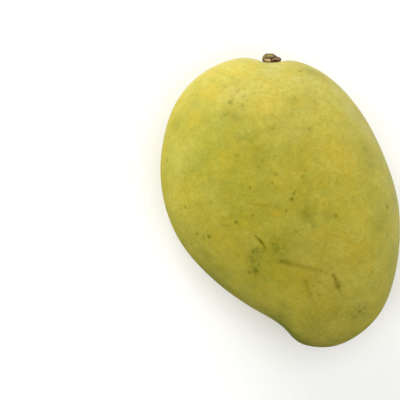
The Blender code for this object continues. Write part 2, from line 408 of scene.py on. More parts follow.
# How bruises break up, and how specks and scratches do.
BLOTCHES = {"size": 1.5, "detail": 3.0, "roughness": 0.6}
BLOTCH_STEP = (0.36, 0.60, 0.50, 1.65)
TORN = {"size": 0.9, "detail": 3.0}
TORN_STEP = (0.30, 0.60, 0.75, 1.35)
# Roughness, with its variation and what a scratch adds to it.
SKIN_ROUGHNESS = 0.54
WAXINESS = {"size": 7.0, "detail": 3.0, "shift": 15.0}
ROUGHNESS_SPREAD = 0.10
SCRATCH_ROUGHNESS = 0.25
# The finest relief and its heights.
RIPPLES = {"size": 2.6, "detail": 2.0}
RIPPLE_HEIGHT = 0.006
GRAIN_HEIGHT = 0.003
PORE_HEIGHT = 0.006
# Light that soaks into the flesh, and the faint gloss of the wax.
SUBSURFACE_WEIGHT = 0.12
SUBSURFACE_RADII = (1.0, 0.6, 0.15)
SUBSURFACE_SCALE = 2.5 * MM
SKIN_SPECULAR = 0.30

# Broad layout of ripeness, added to its mean: x, y, z and radius in millimetres, and amount. It holds
# painted
# light too: the patches that make the stalk end and the top lighter are partly a painted highlight
# where the light falls, and those of the hollow and the nose are painted shade along the underside
# rim.
RIPE_MEAN = 0.50
RIPENESS_AND_PAINTED_LIGHT_MM = (
    (-20, 45, 45, 26, 0.24),
    (2, 40, 60, 22, 0.16),
    (25, 15, 60, 22, 0.10),
    (-32, -22, 45, 16, -0.18),
    (-12, -18, 62, 16, -0.12),
    (10, -50, 45, 18, -0.04),
    (-5, 15, 70, 18, -0.06),
    (36, -20, 40, 18, -0.08),
    (-10, 40, 10, 26, 0.12),
    (20, -20, 10, 26, -0.10),
    (8, -30, 58, 18, 0.12),
    # The left shoulder.
    (-23, 46, 52, 9, -0.12),
    (-11, 45, 58, 6, -0.05),
    (-10, 41, 54, 9, -0.12),
    (-31, 38, 52, 8, -0.12),
    (-30, 36, 54, 12, -0.10),
    (-25, 38, 56, 11, -0.09),
    (-13, 32, 63, 9, -0.09),
    (-18, 30, 62, 13, -0.10),
    (-31, 23, 58, 7, -0.07),
    (-28, 20, 62, 12, -0.08),
    # The right side.
    (30, 31, 54, 5, -0.09),
    (34, 22, 54, 8, -0.06),
    (36, 5, 56, 6, 0.05),
    (27, 2, 62, 12, -0.05),
    (30, 0, 60, 10, -0.09),
    (29, -15, 62, 6, -0.05),
    (17, 2, 69, 6, -0.06),
    # The middle, and below it.
    (-7, -5, 69, 14, 0.10),
    (-13, 0, 67, 6, -0.06),
    (0, -2, 69, 5, -0.06),
    (-24, -12, 56, 12, 0.14),
    (-22, -24, 55, 9, -0.06),
    (-20, -30, 22, 14, -0.05),
    (-11, -31, 60, 6, -0.04),
    (5, -34, 61, 7, 0.05),
    # The hollow and the nose: painted shade, darker along the underside rim that faces away from the
    # light.
    (-19, -35, 42, 7, -0.10),
    (-12, -41, 42, 7, -0.20),
    (-6, -40, 52, 6, -0.22),
    (-6, -49, 41, 7, -0.50),
    (-1, -53, 40, 7, -0.18),
    (6, -57, 40, 8, -0.05),
    (6, -50, 54, 10, 0.08),
    (12, -50, 50, 9, 0.04),
    (16, -58, 34, 9, -0.10),
    (30, -48, 28, 9, -0.10),
)

# The woody stub round the stalk's axis, in millimetres: radius and height above the skin, foot first.
STUB_PROFILE_MM = (
    (3.10, -1.10),
    (3.25, -0.30),
    (3.35, 0.20),
    (3.45, 0.70),
    (3.46, 1.20),
    (3.38, 1.65),
    (3.15, 2.02),
    (2.82, 2.28),
    (2.55, 2.50),
    (2.28, 2.90),
    (1.92, 3.30),
    (1.50, 3.66),
    (1.00, 3.84),
    (0.55, 3.80),
    (0.12, 3.72),
)
# The scar disc round its foot, and how its two ends bend up.
DISC_HEIGHT = 1.3
DISC_THICKNESS = 0.8
DISC_BEND = 0.035
# The top is shifted sideways, over a step between these heights.
STEP_HEIGHTS = (1.8, 2.6)
STUB_TOP_X = -0.80
# Lobes of the disc and ribs of the wood: how many in a turn, height and start.
DISC_LOBES = ((3, 0.20, 1.2), (5, 0.12, 0.0))
WOOD_RIBS = ((5, 0.10, 0.6), (8, 0.08, 2.0))
STUB_SIDES = 132
# Lines on the stub, round its own axis: points to the right, down and along the stalk, half width,
# and how far the wood is pushed in. Each also runs over the far side, half a turn round.
STUB_LINES_MM = {
    # Crevices: painted shade in the gaps of the torn wood. The last line is a raised lump painted the
    # same near-black.
    "crevice_shade_and_dark_lump": (
        (((-3.3, -0.6, 1.8), (-2.4, -2.2, 1.95), (-1.2, -2.9, 1.85), (0.2, -3.0, 1.95)), 0.32, 0.45),
        (((0.2, -3.0, 1.95), (1.2, -2.6, 2.15), (2.0, -1.6, 2.20)), 0.30, 0.40),
        (((0.9, -3.3, 0.95), (1.8, -2.9, 0.75), (2.6, -2.2, 0.80), (3.2, -1.2, 0.90)), 0.34, 0.45),
        (((-3.4, -0.4, 1.3), (-3.1, -1.4, 0.9), (-2.6, -2.3, 0.3)), 0.34, 0.32),
        (((-0.2, -3.3, 1.5), (0.0, -3.4, 0.9), (0.1, -3.4, 0.2)), 0.18, 0.20),
        (((0.8, -1.4, 3.1), (1.2, -1.9, 2.6), (1.0, -2.5, 2.1)), 0.18, 0.22),
        (((-2.0, -1.2, 3.2), (-1.7, -1.9, 2.6)), 0.14, 0.14),
        (((1.30, -0.6, 2.85), (1.95, -0.5, 2.45), (2.60, -0.4, 2.15)), 0.48, -0.42),
    ),
    "bark": (
        (
            (
                (-2.9, -0.6, 2.2),
                (-2.3, -1.5, 2.5),
                (-1.3, -2.0, 2.75),
                (-0.3, -2.0, 2.85),
                (0.4, -1.8, 2.9),
            ),
            0.46,
            -0.12,
        ),
    ),
    "cork": (
        (((-2.5, -2.2, 1.15), (-1.7, -2.9, 1.15), (-0.9, -3.2, 1.0)), 0.46, -0.14),
    ),
    "pith": (
        (((0.5, -3.2, 1.45), (1.4, -3.0, 1.6), (2.2, -2.4, 1.6), (2.9, -1.6, 1.5)), 0.40, -0.16),
    ),
}
WOOD_DARK = (0.062, 0.036, 0.018)
WOOD_LIGHT = (0.230, 0.150, 0.080)
# Painted shade in the crevices, also used for one dark raised lump.
CREVICE_SHADE_AND_DARK_LUMP_COLOUR = (0.030, 0.008, 0.003)
BARK_COLOUR = (0.310, 0.265, 0.055)
CORK_COLOUR = (0.700, 0.500, 0.220)
PITH_COLOUR = (0.360, 0.215, 0.140)
# How closely the stub's rings and the points of its lines are laid.
STUB_RING_SPACING = 0.11
LINE_SPACING = 0.4
# How much the strength of a line frays, and how boldly it is coloured.
LINE_FRAY = 0.8
LINE_COVER = 1.5
# Fibres and splinters: waves round the stub, waves along it, and height. Both weaken near the axis.
FIBRES_MM = (5.0, 0.5, 0.18)
SPLINTERS_MM = (12.0, 0.9, 0.13)
FULL_FIBRE_RADIUS = 2.0
# The ragged top: waves round the stub, where they start, and heights with and without splinters.
TOP_WAVES = 2.6
TOP_START = (3.0, 0.0, 0.0)
TOP_HEIGHT = 0.12
TOP_SPLINTER_HEIGHT = 0.10
# Waves for each millimetre in what frays the lines, and in the chips of the surface.
FRAY_WAVES = 1.7
CHIP_WAVES = 3.1
CHIP_HEIGHT = 0.10
# The wood's grain: layers of noise with their steps and heights.
FIBRE_NOISE = {"size": 0.45, "detail": 4.0, "roughness": 0.65}
FIBRE_STEP = (0.30, 0.70)
FIBRE_HEIGHT = 0.10
BROKEN = {"size": 0.30, "detail": 3.0, "roughness": 0.6, "shift": 9.0}
BROKEN_STEP = (0.30, 0.60, 0.55, 1.0)
WOOD_GRAIN = {"size": 0.22, "detail": 3.0, "roughness": 0.6, "shift": 4.0}
WOOD_GRAIN_HEIGHT = 0.05
WOOD_ROUGHNESS_STEP = (0.2, 0.8, 0.92, 0.74)
WOOD_SPECULAR = 0.3


def link(obj):
    bpy.context.scene.collection.objects.link(obj)
    return obj


def aim(obj, target):
    """Turns a lamp so that it faces the target."""
    way = Vector(target) - obj.location
    obj.rotation_euler = way.to_track_quat("-Z", "Y").to_euler()


def make_camera():
    data = bpy.data.cameras.new("camera")
    data.lens = CAMERA_LENS
    data.sensor_width = SENSOR_WIDTH
    data.clip_start = CLIP_START
    data.clip_end = CLIP_END
    camera = link(bpy.data.objects.new("camera", data))
    camera.location = (*VIEW_CENTRE, CAMERA_HEIGHT)
    camera.rotation_euler = (0.0, 0.0, -VIEW_TURN)
    bpy.context.scene.camera = camera


def make_lamps():
    for name, place, width, power, colour, shines in LAMPS:
        data = bpy.data.lights.new(name, "AREA")
        data.shape = "DISK"
        data.size = width
        data.energy = power
        data.color = colour
        lamp = link(bpy.data.objects.new(name, data))
        lamp.location = place
        lamp.visible_camera = False
        lamp.visible_glossy = shines
        aim(lamp, LAMP_TARGET)


def make_sky():
    """A sky whose strength turns from the bright side to the other, and fades with height."""
    world = bpy.data.worlds.new("studio")
    world.use_nodes = True
    nodes, links = world.node_tree.nodes, world.node_tree.links
    sky = nodes["Background"]
    sky.inputs["Color"].default_value = (*SKY_COLOUR, 1.0)
    way = nodes.new("ShaderNodeTexCoord").outputs["Generated"]

    def smooth_step(source, limits):
        step = nodes.new("ShaderNodeMapRange")
        step.interpolation_type = "SMOOTHSTEP"
        links.new(source, step.inputs[0])
        for index, value in enumerate(limits, start=1):
            step.inputs[index].default_value = value
        return step.outputs[0]

    turned = nodes.new("ShaderNodeVectorMath")
    turned.operation = "DOT_PRODUCT"
    turned.inputs[1].default_value = SKY_BRIGHT_SIDE
    links.new(way, turned.inputs[0])
    height = nodes.new("ShaderNodeSeparateXYZ")
    links.new(way, height.inputs[0])
    both = nodes.new("ShaderNodeMath")
    both.operation = "MULTIPLY"
    side = smooth_step(turned.outputs["Value"], (*SKY_BLEND, *SKY_STRENGTHS))
    fade = smooth_step(height.outputs["Z"], (*SKY_FADE_HEIGHTS, 1.0, 0.0))
    links.new(side, both.inputs[0])
    links.new(fade, both.inputs[1])
    links.new(both.outputs[0], sky.inputs["Strength"])
    bpy.context.scene.world = world


def make_floor():
    half = FLOOR_SIZE / 2
    mesh = bpy.data.meshes.new("floor")
    corners = [(-half, -half, 0.0), (half, -half, 0.0), (half, half, 0.0), (-half, half, 0.0)]
    mesh.from_pydata(corners, [], [(0, 1, 2, 3)])
    material = bpy.data.materials.new("floor")
    material.use_nodes = True
    shader = material.node_tree.nodes["Principled BSDF"]
    shader.inputs["Base Color"].default_value = (*FLOOR_COLOUR, 1.0)
    shader.inputs["Roughness"].default_value = FLOOR_ROUGHNESS
    shader.inputs["Specular IOR Level"].default_value = FLOOR_SPECULAR
    mesh.materials.append(material)
    floor = link(bpy.data.objects.new("floor", mesh))
    floor.location = (0.0, 0.0, -FLOOR_DROP)
    floor.visible_glossy = False


class Shading:
    """The shader nodes of one material, added one at a time."""

    def __init__(self, name):
        self.material = bpy.data.materials.new(name)
        self.material.use_nodes = True
        self.nodes = self.material.node_tree.nodes
        self.links = self.material.node_tree.links
        self.shader = self.nodes["Principled BSDF"]
        place = self.nodes.new("ShaderNodeTexCoord").outputs["Object"]
        scaled = self.add("VectorMath", {0: place, "Scale": 1 / MM}, operation="SCALE")
        self.place = scaled.outputs[0]

    def feed(self, socket, value):
        if isinstance(value, bpy.types.NodeSocket):
            self.links.new(value, socket)
        else:
            socket.default_value = value

    def add(self, kind, inputs, **settings):
        made = self.nodes.new("ShaderNode" + kind)
        for name, value in settings.items():
            setattr(made, name, value)
        for key, value in inputs.items():
            self.feed(made.inputs[key], value)
        return made

    def set(self, **values):
        """Values of the surface shader, with underscores for the spaces in their names."""
        for name, value in values.items():
            self.feed(self.shader.inputs[name.replace("_", " ")], value)

    def painted(self, name):
        """A value that the mesh carries at each of its points."""
        made = self.add("Attribute", {}, attribute_type="GEOMETRY", attribute_name=name)
        return made.outputs["Fac"]

    def clouds(self, size, detail=2.0, roughness=0.5, distortion=0.0, shift=0.0):
        """Noise about 0.5 with features of that size in millimetres."""
        place = self.add("VectorMath", {0: self.place, 1: (shift, shift, shift)}, operation="ADD")
        inputs = {
            "Vector": place.outputs[0],
            "Scale": 1 / size,
            "Detail": detail,
            "Roughness": roughness,
            "Distortion": distortion,
        }
        return self.add("TexNoise", inputs).outputs[0]

    def cells(self, size):
        """The distance to the nearest of points strewn about that far apart in millimetres."""
        inputs = {"Vector": self.place, "Scale": 1 / size}
        return self.add("TexVoronoi", inputs).outputs["Distance"]

    def maths(self, operation, first, second=0.0, clamp=False):
        made = self.add("Math", {0: first, 1: second}, operation=operation, use_clamp=clamp)
        return made.outputs[0]

    def spread(self, value, amount):
        """Noise about 0.5 turned into that amount either way of 0."""
        centred = self.maths("SUBTRACT", value, 0.5)
        return self.maths("MULTIPLY", centred, 2 * amount)

    def between(self, value, low, high, start=0.0, end=1.0):
        """A smooth step from start to end as the value goes from low to high."""
        inputs = {0: value, 1: low, 2: high, 3: start, 4: end}
        made = self.add("MapRange", inputs, interpolation_type="SMOOTHSTEP", clamp=True)
        return made.outputs[0]

    def mix(self, factor, first, second, mode="MIX"):
        inputs = {0: factor, 6: self.colour(first), 7: self.colour(second)}
        made = self.add("Mix", inputs, data_type="RGBA", blend_type=mode, clamp_factor=True)
        return made.outputs[2]

    def colour(self, value):
        return value if isinstance(value, bpy.types.NodeSocket) else (*value, 1.0)

    def ramp(self, factor, stops):
        """A colour ramp with stops of place and colour."""
        made = self.add("ValToRGB", {0: factor})
        elements = made.color_ramp.elements
        while len(elements) < len(stops):
            elements.new(0.5)
        for element, (place, colour) in zip(elements, stops):
            element.position = place
            element.color = (*colour, 1.0)
        return made.outputs[0]


def skin_material():
    """Waxy mango skin: ripening in clouds, with painted highlight and shade, pale pores, specks,
    bruises and scratches.
    """
    s = Shading("skin")
    # The painted ripeness carries painted light: lighter towards the stalk end and top, painted shade
    # under the hollow and nose.
    ripe_and_painted_light = s.painted("ripe_and_painted_light")
    for size, amount, shift in RIPENESS_CLOUDS:
        ripe_and_painted_light = s.maths("ADD", ripe_and_painted_light, s.spread(s.clouds(size, shift=shift), amount))
    grain = s.clouds(**GRAIN)
    coarse = s.between(s.painted("ripe_and_painted_light"), *COARSE_STEP)
    uneven = s.maths("MULTIPLY", s.spread(grain, GRAIN_AMOUNT), coarse)
    ripe_and_painted_light = s.maths("ADD", ripe_and_painted_light, uneven, clamp=True)
    colour = s.ramp(ripe_and_painted_light, RIPENESS_AND_PAINTED_HAZE)
    hue = s.between(s.clouds(**HUE), *HUE_STEP)
    colour = s.mix(1.0, colour, s.mix(hue, WARM_TINT, COOL_TINT), mode="MULTIPLY")

    wisps = s.between(s.clouds(**WISPS), *WISP_STEP)
    green = s.maths("MULTIPLY", s.painted("green"), wisps)
    colour = s.mix(green, colour, CLOUD_COLOUR)
    colour = s.mix(s.painted("flush"), colour, FLUSH_COLOUR)
    # Paler skin: partly worn, partly a painted highlight where the light falls.
    colour = s.mix(s.painted("pale_and_highlight"), colour, PALE_AND_HIGHLIGHT_COLOUR)
    collar = s.maths("MULTIPLY", s.painted("collar"), COLLAR_STRENGTH)
    colour = s.mix(collar, colour, COLLAR_COLOUR)

    pore_gap = s.cells(PORE_SPACING)
    pore = s.between(pore_gap, *PORE_STEP)
    halo = s.between(pore_gap, *HALO_STEP)
    colour = s.mix(s.maths("MULTIPLY", halo, HALO_STRENGTH), colour, CLOUD_COLOUR)
    colour = s.mix(s.maths("MULTIPLY", pore, PORE_STRENGTH), colour, PORE_COLOUR)

    flecks = s.between(s.clouds(**FLECKS), *FLECK_STEP)
    thicket = s.between(s.clouds(**THICKETS), *THICKET_STEP)
    strength = s.maths("ADD", s.maths("MULTIPLY", thicket, THICKET_STRENGTH), FLECK_STRENGTH)
    colour = s.mix(s.maths("MULTIPLY", flecks, strength), colour, CLOUD_COLOUR)

    pin = s.between(s.cells(PIN_SPACING), *PIN_STEP)
    colour = s.mix(s.maths("MULTIPLY", pin, PIN_STRENGTH), colour, SPECK_COLOUR)

    blotches = s.between(s.clouds(**BLOTCHES), *BLOTCH_STEP)
    colour = s.mix(s.maths("MULTIPLY", s.painted("bruise"), blotches), colour, BRUISE_COLOUR)
    torn = s.between(s.clouds(**TORN), *TORN_STEP)
    colour = s.mix(s.maths("MULTIPLY", s.painted("speck"), torn), colour, SPECK_COLOUR)
    colour = s.mix(s.maths("MULTIPLY", s.painted("scratch"), torn), colour, SCRATCH_COLOUR)

    rough = s.maths("ADD", SKIN_ROUGHNESS, s.spread(s.clouds(**WAXINESS), ROUGHNESS_SPREAD))
    torn_up = s.maths("MULTIPLY", s.painted("scratch"), SCRATCH_ROUGHNESS)
    rough = s.maths("ADD", rough, torn_up)
    height = s.maths("MULTIPLY", s.maths("MULTIPLY", s.spread(grain, 1.0), coarse), GRAIN_HEIGHT)
    height = s.maths("ADD", height, s.maths("MULTIPLY", pore, PORE_HEIGHT))
    height = s.maths("ADD", height, s.spread(s.clouds(**RIPPLES), RIPPLE_HEIGHT))
    bump = s.add("Bump", {"Height": height, "Distance": MM, "Strength": 1.0})
    s.set(
        Base_Color=colour,
        Roughness=rough,
        Normal=bump.outputs[0],
        Subsurface_Weight=SUBSURFACE_WEIGHT,
        Subsurface_Radius=SUBSURFACE_RADII,
        Subsurface_Scale=SUBSURFACE_SCALE,
        Specular_IOR_Level=SKIN_SPECULAR,
    )
    return s.material


def closed_spline(angles, values):
    """A smooth function of the angle that passes through the values and joins up after one turn."""
    order = np.argsort(angles)
    angles, values = angles[order], values[order]
    count = len(angles)
    gaps = np.diff(np.append(angles, angles[0] + 2 * math.pi))
    bends = np.zeros((count, count))
    slopes = np.zeros(count)
    for i in range(count):
        before, after = (i - 1) % count, (i + 1) % count
        bends[i, before] = gaps[before]
        bends[i, i] = 2 * (gaps[before] + gaps[i])
        bends[i, after] = gaps[i]
        rise = (values[after] - values[i]) / gaps[i]
        slopes[i] = 6 * (rise - (values[i] - values[before]) / gaps[before])
    bend = np.linalg.solve(bends, slopes)

    def value_at(angle):
        turned = (np.asarray(angle) - angles[0]) % (2 * math.pi) + angles[0]
        i = np.searchsorted(angles, turned, side="right") - 1
        j = (i + 1) % count
        gap, past = gaps[i], turned - angles[i]
        left = gap - past
        cubic = (bend[i] * left**3 + bend[j] * past**3) / (6 * gap)
        start = (values[i] / gap - bend[i] * gap / 6) * left
        end = (values[j] / gap - bend[j] * gap / 6) * past
        return cubic + start + end

    return value_at


def edge_radius():
    away = np.array(EDGE_POINTS_MM) * MM - CHEEK_CENTRE
    return closed_spline(np.arctan2(away[:, 1], away[:, 0]), np.hypot(away[:, 0], away[:, 1]))


def broad_radius(radius_at):
    """The radius of the edge with only its first few harmonics left."""
    turn = np.linspace(0, 2 * math.pi, EDGE_SAMPLES, endpoint=False)
    parts = np.fft.rfft(radius_at(turn)) / len(turn)

    def value_at(angle):
        total = np.full_like(angle, parts[0].real)
        for k in range(1, BROAD_HARMONICS + 1):
            total += 2 * (parts[k].real * np.cos(k * angle) - parts[k].imag * np.sin(k * angle))
        return total

    return value_at


def swell_height(places, upper):
    height = np.zeros(len(places))
    for swells, here in zip(CHEEK_SWELLS_MM, (upper, ~upper)):
        for x, y, radius, rise in swells:
            away = np.hypot(places[:, 0] - x * MM, places[:, 1] - y * MM) / (radius * MM)
            height += here * rise * MM * np.exp(-(away**2))
    return height


def stalk_axis():
    return np.array((math.sin(STALK_LEAN), math.cos(STALK_LEAN), 0.0))


def arch_point(x):
    """The point of the edge above the cheek centre at an x, as it would be with no basin."""
    radius_at = edge_radius()
    centre = np.array((*CHEEK_CENTRE, 0.0))
    angle = math.pi / 2
    for _ in range(ARCH_STEPS):
        reach = float(radius_at(angle))
        angle -= (x - centre[0] - reach * math.cos(angle)) / reach
    return centre + reach * np.array((math.cos(angle), math.sin(angle), 0.0))


def sunk_in_basin(points):
    away = points - arch_point(BASIN_X)
    along = np.hypot(away[:, 0], away[:, 1]) / BASIN_REACH_ALONG
    across = away[:, 2] / BASIN_REACH_ACROSS
    return points - BASIN_DEPTH * np.exp(-(along**2) - across**2)[:, None] * stalk_axis()


def smooth_form(cube_points):
    """The fruit's surface, without its fine relief, over the points of a cube."""
    directions = np.tan(cube_points * math.pi / 4)
    directions /= np.linalg.norm(directions, axis=1)[:, None]
    radius_at = edge_radius()
    broad_at = broad_radius(radius_at)
    angle = np.arctan2(directions[:, 1], directions[:, 0])
    level = np.hypot(directions[:, 0], directions[:, 1])
    broad = broad_at(angle)
    reach = level * (broad + (radius_at(angle) - broad) * level**EDGE_FADE)
    points = np.empty_like(directions)
    points[:, 0] = CHEEK_CENTRE[0] + reach * np.cos(angle)
    points[:, 1] = CHEEK_CENTRE[1] + reach * np.sin(angle)
    bulge = directions[:, 2] * (1 + FULLNESS * level**2)
    taper = 1 + TAPER * (points[:, 1] - CHEEK_CENTRE[1]) / THICKNESS
    swell = swell_height(points, directions[:, 2] > 0) * directions[:, 2]
    points[:, 2] = THICKNESS / 2 * bulge * taper + swell
    return sunk_in_basin(points)


def flattened(heights):
    """Heights with nothing below 0, rounded off gently into the flat spot."""
    eased = (heights + FLAT_EASE) ** 2 / (4 * FLAT_EASE)
    return np.where(heights > FLAT_EASE, heights, np.where(heights > -FLAT_EASE, eased, 0.0))


def points_of(grid):
    return np.array([vert.co for vert in grid.verts])


def outward_of(grid):
    bmesh.ops.recalc_face_normals(grid, faces=grid.faces[:])
    grid.normal_update()
    return np.array([vert.normal for vert in grid.verts])


def move_to(grid, points):
    for vert, place in zip(grid.verts, points):
        vert.co = place


def finish_piece(name, grid, painted, material):
    """A piece from a finished mesh, with the values painted on each of its points."""
    mesh = bpy.data.meshes.new(name)
    grid.to_mesh(mesh)
    grid.free()
    mesh.shade_smooth()
    for kind, values in painted.items():
        layer = mesh.attributes.new(kind, "FLOAT", "POINT")
        layer.data.foreach_set("value", values.astype(np.float32))
    mesh.materials.append(material)
    return link(bpy.data.objects.new(name, mesh))


def to_row(points):
    """The shift from the form's own axes to the row frame, by the box of the solid it stands for."""
    low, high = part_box("fruit")
    middle = (points.min(axis=0) + points.max(axis=0)) / 2
    return np.array(
        (
            (low.x + high.x) / 2 - middle[0],
            (low.y + high.y) / 2 - middle[1],
            high.z - points[:, 2].max(),
        )
    )


def on_cheek(surface, x, y):
    """The point of the upper cheek that is seen at x, y from above."""
    upper = surface[surface[:, 2] > THICKNESS / 2]
    nearest = np.argmin(np.hypot(upper[:, 0] - x, upper[:, 1] - y))
    return np.array((x, y, upper[nearest, 2]))


class Marks:
    """Marks of one kind, each a soft round patch: its place, radius and strength."""

    def __init__(self):
        self.patches = []

    def add(self, place, radius, strength):
        self.patches.append((place, radius, strength))

    def strength_at(self, points):
        total = np.zeros(len(points))
        for place, radius, strength in self.patches:
            away = np.linalg.norm(points - place, axis=1) / radius
            total = np.maximum(total, strength * np.exp(-(away**2)))
        return total

    def near(self, points, margin):
        found = np.zeros(len(points), bool)
        for place, radius, _ in self.patches:
            found |= np.linalg.norm(points - place, axis=1) < MARK_REACH * radius + margin
        return found


class Scratches:
    """Scratches over the skin: each a path, with its half width and strength from end to end."""

    def __init__(self):
        self.lines = []

    def add(self, path, half_widths, strengths):
        self.lines.append((np.array(path), np.array(half_widths), strengths))

    def nearest(self, points, path):
        """How far each point is from the path, and what share of the path lies before it."""
        away = np.full(len(points), np.inf)
        share = np.zeros(len(points))
        lengths = np.linalg.norm(np.diff(path, axis=0), axis=1)
        passed = 0.0
        for first, second, length in zip(path, path[1:], lengths):
            way = (second - first) / length
            along = np.clip((points - first) @ way, 0.0, length)
            gap = np.linalg.norm(points - first - along[:, None] * way, axis=1)
            closer = gap < away
            away[closer] = gap[closer]
            share[closer] = (passed + along[closer]) / lengths.sum()
            passed += length
        return away, share

    def strength_at(self, points):
        total = np.zeros(len(points))
        for path, half_widths, strengths in self.lines:
            away, share = self.nearest(points, path)
            width = np.interp(share, np.linspace(0, 1, len(half_widths)), half_widths)
            depth = np.interp(share, np.linspace(0, 1, len(strengths)), strengths)
            total = np.maximum(total, depth * np.exp(-((away / width) ** 2)))
        return total

    def near(self, points, margin):
        found = np.zeros(len(points), bool)
        for path, half_widths, _ in self.lines:
            reach = MARK_REACH * half_widths.max() + margin
            found |= self.nearest(points, path)[0] < reach
        return found


def smooth_path(points, step):
    """A path through the points with rounded bends and a point at every step or so."""
    points = np.array(points)
    ends = np.vstack((2 * points[0] - points[1], points, 2 * points[-1] - points[-2]))
    path = [points[0]]
    for i in range(len(points) - 1):
        a, b, c, d = ends[i : i + 4]
        count = max(1, int(np.linalg.norm(c - b) / step))
        for t in np.linspace(0, 1, count + 1)[1:]:
            path.append(
                0.5 * (2 * b + (c - a) * t + (2 * a - 5 * b + 4 * c - d) * t**2)
                + 0.5 * (3 * b - a - 3 * c + d) * t**3
            )
    return path


def lay_marks(surface):
    """Every mark of the skin, by kind: those of the upper cheek, then those strewn over the rest."""
    kinds = {name: Marks() for name in ("speck", "green", "bruise", "flush", "pale_and_highlight")}
    tables = (
        ("speck", SPECKS_MM),
        ("green", GREEN_CLOUDS_MM),
        ("bruise", BRUISES_MM),
        ("flush", FLUSHES_MM),
        # Paler places: partly worn, partly a painted highlight.
        ("pale_and_highlight", PALE_AND_HIGHLIGHT_MM),
    )
    for name, table in tables:
        for x, y, radius, strength in table:
            kinds[name].add(on_cheek(surface, x * MM, y * MM), radius * MM, strength)
    scratches = Scratches()
    for line, half_widths, strengths in SCRATCHES_MM:
        flat = smooth_path(np.array(line) * MM, SCRATCH_SPACING)
        path = [on_cheek(surface, x, y) for x, y in flat]
        scratches.add(path, np.array(half_widths) * MM, strengths)

    rng = random.Random(STREWN_SEED)
    rest = surface[(surface[:, 2] < THICKNESS * STREWN_TOP) & (surface[:, 2] > 0)]
    for name, count, radii, strengths in STREWN_MARKS_MM:
        for _ in range(count):
            place = rest[rng.randrange(len(rest))]
            kinds[name].add(place, rng.uniform(*radii) * MM, rng.uniform(*strengths))
    for _ in range(STREWN_SCRATCHES):
        place = rest[rng.randrange(len(rest))]
        way = Vector([rng.uniform(-1, 1) for _ in range(3)]).normalized()
        path = [place]
        for _ in range(rng.randrange(*SCRATCH_STEPS)):
            aside = Vector([rng.uniform(-SCRATCH_TURN, SCRATCH_TURN) for _ in range(3)])
            way = (way + aside).normalized()
            step = path[-1] + np.array(way) * SCRATCH_STEP
            path.append(rest[np.argmin(np.linalg.norm(rest - step, axis=1))])
        kept = [path[0]]
        for place in path[1:]:
            if np.linalg.norm(place - kept[-1]) > SHORTEST_STEP:
                kept.append(place)
        half_widths = [rng.uniform(*SCRATCH_HALF_WIDTHS) for _ in range(2)]
        strengths = [rng.uniform(*SCRATCH_START_STRENGTHS), rng.uniform(*SCRATCH_END_STRENGTHS)]
        if len(kept) > 1:
            scratches.add(kept, half_widths, strengths)
    kinds["scratch"] = scratches
    return kinds


# Ripeness with painted light in it: a painted highlight at the stalk end and top, painted shade under
# the hollow and nose.
def ripeness_and_painted_light_at(points):
    ripe_and_painted_light = np.full(len(points), RIPE_MEAN)
    for x, y, z, radius, amount in RIPENESS_AND_PAINTED_LIGHT_MM:
        away = np.linalg.norm(points - np.array((x, y, z)) * MM, axis=1) / (radius * MM)
        ripe_and_painted_light += amount * np.exp(-(away**2))
    return ripe_and_painted_light


def slow_swells(points, outward):
    """Gentle unevenness of both cheeks, which dies out at the edge between them."""
    height = np.zeros(len(points))
    for wavelength, rise in SWELLS_MM:
        scaled = points / (wavelength * MM)
        height += rise * MM * np.array([noise.noise(Vector(place)) for place in scaled])
    return height * np.abs(outward[:, 2])


def frayed(points):
    """The points moved about a little, so that a mark laid by them has an irregular edge."""
    noise.seed_set(FRAY_SEED)
    moved = points.copy()
    for size, reach in FRAYS_MM:
        wavers = [noise.noise_vector(Vector(place)) for place in points / (size * MM)]
        moved += np.array(wavers) * reach * MM
    return moved


def callus(points, foot):
    """The low collar of skin round the stalk, and the faint folds that run out of it."""
    away = points - foot
    outward = np.linalg.norm(away - (away @ stalk_axis())[:, None] * stalk_axis(), axis=1) / MM
    turn = np.arctan2(away[:, 2], away @ np.cross(stalk_axis(), (0, 0, 1)))
    height, radius, width = COLLAR_MM
    collar = height * np.exp(-(((outward - radius) / width) ** 2))
    height, radius, width = FOLDS_MM
    folds = np.sin(FOLD_COUNT * turn + FOLD_SWAY * np.sin(2 * turn))
    folds = height * folds * np.exp(-(((outward - radius) / width) ** 2))
    return (collar + folds) * MM * (np.linalg.norm(away, axis=1) < CALLUS_REACH)


def stub_material():
    """Dry torn wood: fibres, crevices painted dark as shade, olive bark, cork and pinkish pith."""
    s = Shading("dry_stalk")
    fibre = s.clouds(**FIBRE_NOISE)
    colour = s.mix(s.between(fibre, *FIBRE_STEP), WOOD_DARK, WOOD_LIGHT)
    broken = s.between(s.clouds(**BROKEN), *BROKEN_STEP)
    for name, tint in (("bark", BARK_COLOUR), ("cork", CORK_COLOUR), ("pith", PITH_COLOUR)):
        colour = s.mix(s.maths("MULTIPLY", s.painted(name), broken, clamp=True), colour, tint)
    # Painted shade in the crevices, and the dark raised lump on one shoulder.
    colour = s.mix(s.painted("crevice_shade_and_dark_lump"), colour, CREVICE_SHADE_AND_DARK_LUMP_COLOUR)
    grain = s.spread(s.clouds(**WOOD_GRAIN), WOOD_GRAIN_HEIGHT)
    height = s.maths("ADD", s.spread(fibre, FIBRE_HEIGHT), grain)
    bump = s.add("Bump", {"Height": height, "Distance": MM, "Strength": 1.0})
    s.set(
        Base_Color=colour,
        Roughness=s.between(fibre, *WOOD_ROUGHNESS_STEP),
        Normal=bump.outputs[0],
        Specular_IOR_Level=WOOD_SPECULAR,
    )
    return s.material


def waves(turn, terms):
    return sum(size * np.sin(count * turn + start) for count, size, start in terms)


